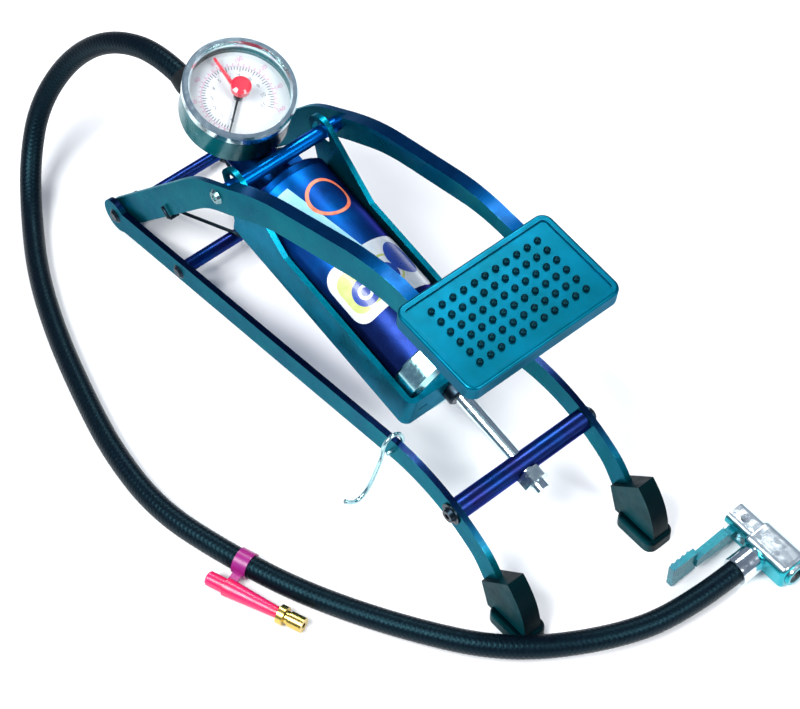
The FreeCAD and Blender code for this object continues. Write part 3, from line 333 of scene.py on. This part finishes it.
def sprayed(name, main, other, painted_top_reflection, roughness=(0.26, 0.38), metallic=0.88,
            tint=(0.0, 0.42, 0.5), wear=(0.05, 0.34, 0.4), peel=0.35, painted_shade_front=None):
    """Glossy metallic paint: soft colour drift, orange peel, fine flake, rubbed edges; the top
    colour is a painted dark reflection on upward faces and the front colour a painted shade.
    """
    made = Finish(name, main, metallic=metallic)
    made.set("Specular Tint", (*tint, 1))
    made.set("Coat Weight", 0.03)
    made.set("Coat Roughness", 0.12)
    drift = made.noise(38.0, 4.0)
    flake = made.noise(1900.0, 1.0)
    colour = made.blend(made.span(drift, 0.35, 0.65), main, other)
    # painted reflection: faces turned upward take the dark top colour, as if they mirrored a dark
    # ceiling
    if painted_top_reflection:
        colour = made.blend(made.facing("Z", 0.55, 0.95), colour, painted_top_reflection)
    # painted shade: towards the -Y end and on faces turned to +X the colour goes to the dark front
    # colour
    if painted_shade_front:
        lit = made.times(made.ramp("Object", "Y", -0.012, 0.03), made.facing("X", 0.85, 0.35))
        colour = made.blend(lit, painted_shade_front, colour)
    colour = made.blend(made.times(made.span(flake, 0.62, 0.75), 0.12), colour,
                        tuple(min(1.0, 2.2 * part + 0.04) for part in other))
    rubbed = made.times(made.edges(), made.span(made.noise(260.0, 4.0), 0.5, 0.68, 0.0, 0.4))
    colour = made.blend(rubbed, colour, wear)
    made.paint(colour)
    made.dull(made.noise(140.0, 5.0), *roughness)
    made.relief(made.noise(620.0, 2.0), 0.00005, peel)
    return made


def plated(name, main, roughness=(0.08, 0.2), stain_and_reflection=(0.35, 0.38, 0.42)):
    """Bright plated or machined metal with fine marks and faint stains; on the front cap the stain
    colour is a painted teal reflection.
    """
    made = Finish(name, main, metallic=1.0)
    marks = made.noise(420.0, 5.0)
    stains_and_reflection = made.times(made.span(made.noise(60.0, 4.0), 0.5, 0.75), 0.35)
    made.paint(made.blend(stains_and_reflection, main, stain_and_reflection))
    made.dull(marks, *roughness)
    made.relief(marks, 0.00003, 0.25)
    return made


def moulded(name, main, other, roughness=(0.3, 0.45), grain=900.0, height=0.00006, **inputs):
    """Moulded plastic or rubber with a fine grain and a slight colour drift."""
    made = Finish(name, main, **inputs)
    drift = made.noise(55.0, 4.0)
    colour = made.blend(made.span(drift, 0.35, 0.65), main, other)
    worn = tuple(0.6 * part + 0.06 for part in other)
    rubbed = made.times(made.edges(0.0007), made.span(made.noise(300.0), 0.45, 0.65, 0.0, 0.45))
    made.paint(made.blend(rubbed, colour, worn))
    made.dull(made.noise(180.0, 5.0), *roughness)
    made.relief(made.noise(grain, 3.0), height, 0.4)
    return made


TEAL = (0.0, 0.17, 0.21)
TEAL_DEEP = (0.0, 0.125, 0.18)
# navy used as the painted dark reflection on the base arms' top faces
NAVY_PAINTED_TOP_REFLECTION = (0.003, 0.01, 0.055)
BLUE = (0.003, 0.035, 0.17)
BLUE_DEEP = (0.012, 0.015, 0.1)
BLUE_TINT = (0.05, 0.35, 0.9)

# The base and lever arms get a painted dark reflection on their top faces.
sprayed("base_paint", TEAL, TEAL_DEEP, NAVY_PAINTED_TOP_REFLECTION).on("base_arm_left", "base_arm_right")
sprayed("lever_paint", TEAL, TEAL_DEEP, (0.0, 0.035, 0.13)).on("lever_arm_left", "lever_arm_right")
sprayed("yoke_paint", (0.0, 0.19, 0.3), TEAL_DEEP, None).on("yoke")
sprayed("head_paint", (0.0, 0.035, 0.16), (0.002, 0.02, 0.09), None, tint=BLUE_TINT).on("head")
sprayed("tube_paint", BLUE, BLUE_DEEP, None, (0.24, 0.36), tint=BLUE_TINT, peel=0.12).on(
    "front_tube", "cross_tube", "rear_axle_tube")
sprayed("trunnion_paint", (0.0, 0.13, 0.48), (0.0, 0.08, 0.36), None, (0.24, 0.36),
        tint=BLUE_TINT, peel=0.12).on("trunnion_tube")
# The barrel is painted darker at its -Y end and on its +X side as painted shade.
sprayed("barrel_paint_flake", (0.002, 0.13, 0.5), (0.008, 0.07, 0.34), None, (0.3, 0.42),
        tint=BLUE_TINT, painted_shade_front=(0.006, 0.016, 0.1)).on("barrel_tube")
plated("rod_chrome", (0.74, 0.86, 0.9), (0.1, 0.2)).on("piston_rod")
plated("nut_zinc", (0.78, 0.92, 0.95), (0.18, 0.3)).on("rod_nuts")
# painted reflection: the front cap's teal tint and teal patches stand for teal paint mirrored in
# the chrome
plated("cap_plating", (0.4, 0.74, 0.78), (0.1, 0.22), (0.04, 0.26, 0.3)).on("front_cap")
plated("bezel_plating", (0.78, 0.97, 1.0), (0.1, 0.2), (0.45, 0.66, 0.7)).on(
    "gauge_bezel", "gauge_stem")
plated("ferrule_plating", (0.74, 0.84, 0.88)).on("hose_ferrule", "chuck_pin")
plated("zinc_plating", (0.55, 0.6, 0.62), (0.25, 0.42)).on(
    "hose_union", "pedal_rivets", "piston", "pedal_plate")
plated("dark_steel", (0.02, 0.035, 0.05), (0.25, 0.42), (0.008, 0.012, 0.015)).on(
    "front_screws", "front_washers", "rear_axle_pin", "cross_tube_rivets", "gland")
plated("screw_steel", (0.2, 0.34, 0.36), (0.2, 0.36), (0.04, 0.07, 0.08)).on("trunnion_screws")
plated("brass_turned", (0.62, 0.46, 0.12), (0.16, 0.3), (0.25, 0.15, 0.03)).on(
    "adapter_brass", "gauge_arbor")
spring_steel = plated("spring_wire", (0.02, 0.035, 0.05), (0.35, 0.5), (0.01, 0.012, 0.014))
hook_steel = plated("hook_wire", (0.42, 0.66, 0.7), (0.16, 0.28), (0.1, 0.2, 0.22))
boot = Finish("foot_rubber", (0.0, 0.003, 0.005), Specular_IOR_Level=0.12,
              Specular_Tint=(0.05, 0.6, 0.66, 1))
# painted reflection: faces turned to -X get a teal sheen, broken up by noise; the rest stays near
# black
boot.paint(boot.blend(boot.times(boot.facing("X", -0.5, -0.95), boot.noise(60.0)),
                      (0.0, 0.003, 0.005), (0.0, 0.06, 0.075)))
boot.dull(boot.noise(180.0, 5.0), 0.4, 0.55).relief(boot.noise(700.0), 0.00006, 0.4)
boot.on("foot_left", "foot_right")
moulded("black_rubber", (0.002, 0.004, 0.006), (0.004, 0.008, 0.01), (0.45, 0.6),
        Specular_IOR_Level=0.2).on(
    "chuck_seal", "piston_cup", "stop_sleeve", "hose_collar", "check_valve")
shell = Finish("gauge_shell", (0.0, 0.13, 0.15), metallic=0.4)
# painted light: faces turned to -X are teal with a slight drift, the other faces near black
shell.paint(shell.blend(shell.facing("X", -0.3, -0.8), (0.001, 0.008, 0.011),
                        shell.blend(shell.noise(55.0), (0.0, 0.11, 0.13), (0.0, 0.15, 0.17))))
shell.dull(shell.noise(180.0, 5.0), 0.14, 0.28).relief(shell.noise(900.0), 0.00006, 0.4)
shell.on("gauge_case")
moulded("needle_black", (0.006, 0.02, 0.025), (0.01, 0.03, 0.035), (0.3, 0.4)).on("gauge_needle")
moulded("marker_red", (0.72, 0.02, 0.05), (0.85, 0.05, 0.08), (0.12, 0.25),
        Coat_Weight=0.6, Transmission_Weight=0.15).on("gauge_marker")
moulded("pedal_gloss", (0.0, 0.1, 0.155), (0.0, 0.125, 0.21), (0.28, 0.4), 520.0, 0.00004,
        metallic=0.85, Coat_Weight=0.05, Coat_Roughness=0.2,
        Specular_Tint=(0.0, 0.42, 0.5, 1)).on("pedal_cover")
studs_rubber = moulded("stud_rubber", (0.0, 0.006, 0.012), (0.0, 0.01, 0.02), (0.3, 0.45),
                       Specular_IOR_Level=0.3, Specular_Tint=(0.1, 0.7, 0.8, 1))
moulded("adapter_red", (0.78, 0.006, 0.07), (0.62, 0.004, 0.12), (0.28, 0.42),
        Subsurface_Weight=0.2, Coat_Weight=0.15).on("adapter_cone")
moulded("clip_purple", (0.3, 0.008, 0.16), (0.2, 0.006, 0.16), (0.25, 0.4)).on("adapter_clip")
moulded("chuck_lever_teal", (0.0, 0.17, 0.21), (0.0, 0.12, 0.17), (0.2, 0.34),
        metallic=0.4).on("chuck_lever")

dial = Finish("dial_face", (0.62, 0.66, 0.68), 0.5)
dial.paint(dial.blend(dial.noise(90.0), (0.6, 0.64, 0.67), (0.66, 0.69, 0.71)))
dial.dull(dial.noise(300.0), 0.42, 0.6).relief(dial.noise(1500.0), 0.00002, 0.3)
dial.on("gauge_dial")

glass = Finish("gauge_glass_clear", (0.97, 0.99, 1.0), 0.03, IOR=1.3, Transmission_Weight=1.0,
               Alpha=0.1)
glass.dull(glass.noise(60.0), 0.01, 0.05)
glass.relief(glass.noise(90.0), 0.00001, 0.2)
glass.on("gauge_glass")

chuck = Finish("chuck_plating", (0.7, 0.84, 0.88), metallic=0.9)
# painted highlight: top faces near white; the other faces teal
chuck.paint(chuck.blend(chuck.facing("Z", 0.55, 0.9), (0.02, 0.34, 0.4), (0.8, 0.9, 0.93)))
chuck.dull(chuck.noise(240.0, 5.0), 0.1, 0.26).relief(chuck.noise(500.0), 0.00004, 0.3)
chuck.on("chuck_body")

braid = Finish("hose_braid_yarn", (0.002, 0.004, 0.01), 0.4, Specular_IOR_Level=0.2,
               Specular_Tint=(0.25, 0.75, 0.95, 1))
yarn = braid.noise(1400.0, 4.0)
lit_yarn = braid.blend(braid.noise(70.0), (0.001, 0.006, 0.008), (0.002, 0.003, 0.009))
braid.paint(braid.blend(braid.span(yarn, 0.4, 0.62), (0.001, 0.0015, 0.004), lit_yarn))
braid.dull(yarn, 0.28, 0.5).relief(yarn, 0.00012, 0.7)


def finish_of(item, finish):
    """Gives a new object its finish and material slot."""
    item.data.materials.clear()
    item.data.materials.append(finish.material)
    return item


# ---------------------------------------------------------------- hose on the model

finish_of(hose, braid)
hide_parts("hose")
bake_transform(hose)


# ---------------------------------------------------------------- springs and hook

REAR_AXLE_Y, REAR_AXLE_Z = 177, 10.5
COIL_RADIUS = 5.6
COIL_INNER_X, COIL_OUTER_X = 28, 36.6
COIL_TURNS = 5
LEG_WAY = (-0.675, 0.738)
LEG_SIDEWAYS = (-0.738, -0.675)
LEG_REACH, LEG_OFFSET = 68, 10.15
SPRING_WIRE_RADIUS = 0.001
HOOK_WIRE_RADIUS = 0.00122


def from_rear(x, forward, upward):
    """Point measured from the rear axle, in metres."""
    return Vector((x, REAR_AXLE_Y + forward, REAR_AXLE_Z + upward)) * MM


def spring(side_name, side):
    """Torsion spring: turns round the rear axle, a leg to the lever and one to the base."""
    start = math.atan2(LEG_SIDEWAYS[1], LEG_SIDEWAYS[0])
    sweep = 2 * math.pi * COIL_TURNS + math.pi / 2 - start
    count = 150
    coil = []
    for number in range(count + 1):
        share = number / count
        turn = start + sweep * share
        x = COIL_OUTER_X + (COIL_INNER_X - COIL_OUTER_X) * share
        coil.append(from_rear(side * x, COIL_RADIUS * math.cos(turn),
                              COIL_RADIUS * math.sin(turn)))

    def lever_leg(x, back):
        along, above = (LEG_WAY[part] * LEG_REACH + LEG_SIDEWAYS[part] * (LEG_OFFSET - back)
                        for part in (0, 1))
        return from_rear(side * x, along, above)

    hooked = [lever_leg(42.9, 8), lever_leg(42.9, 1.2), lever_leg(41.8, 0), lever_leg(37.2, 0)]
    base_leg = [Vector((side * x, y, z)) * MM
                for x, y, z in ((18, 144, 20.2), (8, 115.5, 23.5), (5.8, 108.9, 23.6))]
    item = tube("spring_wire_" + side_name, hooked + coil + base_leg,
                lambda along, turn: SPRING_WIRE_RADIUS, 12)
    finish_of(item, spring_steel)
    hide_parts("return_spring_" + side_name)
    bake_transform(item)


spring("left", -1)
spring("right", 1)

# side view of the hook: x, and height over its pivot, in millimetres
HOOK_Y, HOOK_PIVOT_Z = -70, 51.5
HOOK_POINTS = [(-50.2, 0), (-40.4, 0), (-39.7, 4.5), (-41.4, 10.2), (-45.5, 13), (-49.6, 12),
               (-52.6, 8), (-53.6, 0), (-56.2, -6.2), (-61, -16.5), (-65.6, -22),
               (-70, -23.6), (-74.2, -21.2), (-77.5, -16.5)]
hook_line = spline_points([(x * MM, HOOK_Y * MM, (HOOK_PIVOT_Z + z) * MM)
                           for x, z in HOOK_POINTS], "hook_route")
hook = tube("hook_rod", evenly(hook_line, 0.0008)[0], lambda along, turn: HOOK_WIRE_RADIUS, 14)
finish_of(hook, hook_steel)
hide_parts("lock_hook")
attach(hook, "hook")


# ---------------------------------------------------------------- pedal studs

def lathe(build, place, profile, around):
    """Adds a turned shape about Z; profile runs from the foot to the tip."""
    rings = []
    for radius, height in profile:
        ring = []
        for part in range(around):
            turn = 2 * math.pi * part / around
            ring.append(build.verts.new(place @ Vector(
                (radius * math.cos(turn) * MM, radius * math.sin(turn) * MM, height * MM))))
        rings.append(ring)
    for low, high in zip(rings, rings[1:]):
        for part in range(around):
            after = (part + 1) % around
            build.faces.new((low[part], low[after], high[after], high[part]))
    build.faces.new(rings[-1])
    build.faces.new(list(reversed(rings[0])))


STUD_COLUMNS, STUD_ROWS = 11, 6
STUD_PITCH_X, STUD_PITCH_Y = 6.63, 6.9
PEDAL_FLOOR = 3.5
DOME = [(1.75, 0.0), (1.75, 0.7), (1.65, 1.1), (1.42, 1.5), (1.0, 1.8), (0.5, 1.95), (0.15, 2.0)]

build = bmesh.new()
for column in range(STUD_COLUMNS):
    for row in range(STUD_ROWS):
        spot = Vector(((column - (STUD_COLUMNS - 1) / 2) * STUD_PITCH_X,
                       (row - (STUD_ROWS - 1) / 2) * STUD_PITCH_Y, PEDAL_FLOOR)) * MM
        lathe(build, PEDAL @ Matrix.Translation(spot), DOME, 18)
studs = finish_of(built(build, "stud_domes"), studs_rubber)
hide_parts("pedal_studs")
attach(studs, "lever")


# ---------------------------------------------------------------- gauge scale

def flat_mesh(name, faces, place):
    """Mesh of separate flat faces; each face is a list of points in millimetres."""
    build = bmesh.new()
    for corners in faces:
        build.faces.new([build.verts.new(place @ (Vector(corner) * MM)) for corner in corners])
    return built(build, name, smooth=False)


DIAL_TOP = 15.06
DIAL_START = 131.0
DIAL_SWEEP = 270


def ray(degrees, radius, height=DIAL_TOP):
    """Point on the dial; the angle runs anticlockwise from the dial's +Y."""
    turn = math.radians(degrees)
    return (-radius * math.sin(turn), radius * math.cos(turn), height)


def ticks(count, inner, outer, width, every, longer):
    """Radial marks over the dial's sweep; one in every few reaches further in."""
    faces = []
    for number in range(count + 1):
        degrees = DIAL_START - DIAL_SWEEP * number / count
        inside = inner - (longer if number % every == 0 else 0)
        half = math.degrees(width / 2 / outer)
        faces.append([ray(degrees + half, inside), ray(degrees - half, inside),
                      ray(degrees - half, outer), ray(degrees + half, outer)])
    return faces


def arc_band(radius, width, steps=90):
    """Thin line round the dial's sweep."""
    faces = []
    low = DIAL_START - DIAL_SWEEP
    for number in range(steps):
        first = low + DIAL_SWEEP * number / steps
        second = low + DIAL_SWEEP * (number + 1) / steps
        faces.append([ray(second, radius), ray(first, radius), ray(first, radius + width),
                      ray(second, radius + width)])
    return faces


ink = Finish("dial_ink", (0.03, 0.05, 0.09), 0.5)
ink.paint(ink.blend(ink.noise(2000.0), (0.02, 0.04, 0.07), (0.06, 0.08, 0.13)))
pink_ink = Finish("dial_ink_pink", (0.6, 0.12, 0.3), 0.5)
pink_ink.paint(pink_ink.blend(pink_ink.noise(2000.0), (0.5, 0.1, 0.3), (0.7, 0.25, 0.42)))


def on_barrel_body(item, finish):
    """Printed or fixed detail that moves with the barrel and its gauge."""
    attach(finish_of(item, finish), "barrel")


on_barrel_body(flat_mesh("scale_dark", ticks(55, 17.1, 19.0, 0.5, 5, 1.0), GAUGE),
               ink)
on_barrel_body(flat_mesh("scale_pink", ticks(32, 19.6, 21.0, 0.45, 4, 0.0)
                         + arc_band(19.2, 0.25), GAUGE), pink_ink)


FONT_PER_DIGIT = 1.45


def numerals(name, labels, radius, high, finish):
    """Upright numbers round the dial, joined into one mesh."""
    build = bmesh.new()
    for share, label in labels:
        degrees = DIAL_START - DIAL_SWEEP * share
        curve = bpy.data.curves.new(name + label, "FONT")
        curve.body = label
        curve.size = high * MM * FONT_PER_DIGIT
        curve.align_x = "CENTER"
        curve.align_y = "CENTER"
        holder = bpy.data.objects.new(name + label, curve)
        scene.collection.objects.link(holder)
        bpy.context.view_layer.update()
        made = bpy.data.meshes.new_from_object(holder)
        upright = Matrix.Rotation(math.radians(DIAL_START - DIAL_SWEEP / 2), 4, "Z")
        made.transform(GAUGE @ Matrix.Translation(Vector(ray(degrees, radius)) * MM) @ upright)
        build.from_mesh(made)
        bpy.data.objects.remove(holder)
        bpy.data.meshes.remove(made)
    on_barrel_body(built(build, name, smooth=False), finish)


numerals("numbers_outer", [(step / 8, str(20 * step)) for step in range(9)], 23.2, 2.3,
         pink_ink)
numerals("numbers_inner", [(step / 11, str(step)) for step in range(12)], 13.6, 2.2,
         ink)

build = bmesh.new()
stop_place = GAUGE @ Matrix.Translation(Vector(ray(-34, 7.8, 15.0)) * MM)
lathe(build, stop_place, [(1.0, 0.0), (1.0, 1.0), (0.8, 1.3), (0.3, 1.45)], 20)
on_barrel_body(built(build, "dial_stop_pin"), ink)


# ---------------------------------------------------------------- barrel decoration

def on_barrel(around, along, lift):
    """Point on the barrel: distance round it from the top line, distance along, lift."""
    turn = around / BARREL_RADIUS
    radius = (BARREL_RADIUS + lift) * MM
    return BARREL @ Vector((radius * math.sin(turn), along * MM, radius * math.cos(turn)))


def film(name, centre, outline, lift, finish, rings, inner=0.0):
    """Printed film that fills an outline round its centre, or a rim of it if inner is set."""
    build = bmesh.new()
    rows = []
    for step in range(rings + 1):
        share = inner + (1 - inner) * step / rings
        rows.append([build.verts.new(on_barrel(
            centre[0] + (x - centre[0]) * share, centre[1] + (y - centre[1]) * share, lift))
            for x, y in outline])
    count = len(outline)
    for low, high in zip(rows, rows[1:]):
        for part in range(count):
            after = (part + 1) % count
            if inner == 0.0 and low is rows[0]:
                build.faces.new((low[0], high[part], high[after]))
            else:
                build.faces.new((low[part], high[part], high[after], low[after]))
    bmesh.ops.recalc_face_normals(build, faces=build.faces)
    loose = [vertex for vertex in build.verts if not vertex.link_faces]
    bmesh.ops.delete(build, geom=loose, context="VERTS")
    on_barrel_body(built(build, name), finish)


def disc(name, centre, across, along, lift, finish, rings, inner=0.0, lean=0.0, count=64):
    """Elliptical film or ring."""
    points = []
    for part in range(count):
        turn = 2 * math.pi * part / count
        x, y = across * math.cos(turn), along * math.sin(turn)
        points.append((centre[0] + x * math.cos(lean) - y * math.sin(lean),
                       centre[1] + x * math.sin(lean) + y * math.cos(lean)))
    film(name, centre, points, lift, finish, rings, inner)


def divided(start, end, steps):
    """Points from start up to the last one before end."""
    return [(start[0] + (end[0] - start[0]) * part / steps,
             start[1] + (end[1] - start[1]) * part / steps) for part in range(steps)]


def patch(name, centre, half_across, half_along, corner, lift, finish, rings):
    """Rounded rectangle with its straight sides divided, so that it follows the barrel."""
    points = []
    corners = []
    for number, (one, two) in enumerate(((1, 1), (-1, 1), (-1, -1), (1, -1))):
        middle = (centre[0] + one * (half_across - corner), centre[1] + two * (half_along - corner))
        corners.append([(middle[0] + corner * math.cos(math.pi / 2 * (number + part / 8)),
                         middle[1] + corner * math.sin(math.pi / 2 * (number + part / 8)))
                        for part in range(9)])
    for here, there in zip(corners, corners[1:] + corners[:1]):
        points += here[:-1] + divided(here[-1], there[0], 10)
    film(name, centre, points, lift, finish, rings)


def film_finish(name, main, other):
    """Printed film under a thin coat, with faint unevenness."""
    made = Finish(name, main, Coat_Weight=0.3)
    made.paint(made.blend(made.span(made.noise(160.0, 5.0), 0.4, 0.65), main, other))
    made.dull(made.noise(220.0, 4.0), 0.25, 0.4).relief(made.noise(1200.0), 0.00002, 0.3)
    return made


white_film = film_finish("film_white", (0.72, 0.76, 0.8), (0.62, 0.7, 0.76))
pale_film = film_finish("film_pale_blue", (0.28, 0.66, 0.82), (0.36, 0.72, 0.85))
orange_film = film_finish("film_orange", (0.85, 0.16, 0.06), (0.8, 0.3, 0.18))
blue_film = film_finish("film_blue", (0.0, 0.04, 0.33), (0.004, 0.06, 0.38))
green_film = film_finish("film_green", (0.5, 0.58, 0.16), (0.58, 0.62, 0.26))

STRIPE_CORNERS = [(-16, 185), (-6.5, 132), (2.5, 132), (-8.5, 185)]
stripe = []
for first, second, steps in zip(STRIPE_CORNERS, STRIPE_CORNERS[1:] + STRIPE_CORNERS[:1],
                                (36, 8, 36, 8)):
    stripe += divided(first, second, steps)
film("stripe_pale", (-7.1, 158.5), stripe, 0.08, pale_film, 14)
disc("ring_orange", (6.5, 169), 13, 11.8, 0.12, orange_film, 3, inner=0.84)
patch("label_white", (1, 118.5), 29, 17.5, 9, 0.1, white_film, 14)
disc("label_disc_blue", (17.5, 121), 9.6, 11, 0.16, blue_film, 7, lean=0.2)
patch("label_field_green", (-14, 118), 10.5, 12, 7, 0.16, green_film, 8)
disc("label_disc_small", (-13, 114.5), 7.6, 7.6, 0.2, blue_film, 6)
disc("label_ring_small", (-13, 114.5), 4.2, 4.2, 0.24, white_film, 2, inner=0.6)
disc("label_ring_green", (4.5, 117.5), 8.5, 9.5, 0.14, green_film, 2, inner=0.86)
disc("label_disc_middle", (3.5, 115.5), 5.6, 6.2, 0.17, blue_film, 4, inner=0.45)


# ---------------------------------------------------------------- softened edges

def soften(width, segments, *names):
    """Rounds the sharp edges of CAD pieces; the width is in millimetres."""
    for name in names:
        bevel = nodes[name].modifiers.new("soft_edges", "BEVEL")
        bevel.width = width * MM
        bevel.segments = segments
        bevel.limit_method = "ANGLE"
        bevel.angle_limit = math.radians(40)
        bevel.harden_normals = False


soften(0.45, 3, "foot_left", "foot_right", "chuck_lever", "adapter_clip")
soften(0.3, 2, "base_arm_left", "base_arm_right", "lever_arm_left", "lever_arm_right", "yoke")


# ---------------------------------------------------------------- floor

FLOOR_HALF = 40
floor_mesh = bpy.data.meshes.new("floor")
floor_mesh.from_pydata([(x * FLOOR_HALF, y * FLOOR_HALF, 0)
                        for x, y in ((-1, -1), (1, -1), (1, 1), (-1, 1))], [], [(0, 1, 2, 3)])
floor = bpy.data.objects.new("floor", floor_mesh)
scene.collection.objects.link(floor)
floor_finish = Finish("floor_white", (0.93, 0.935, 0.94), 0.9)
floor_finish.dull(floor_finish.noise(3.0), 0.85, 0.95)
floor_mesh.materials.append(floor_finish.material)
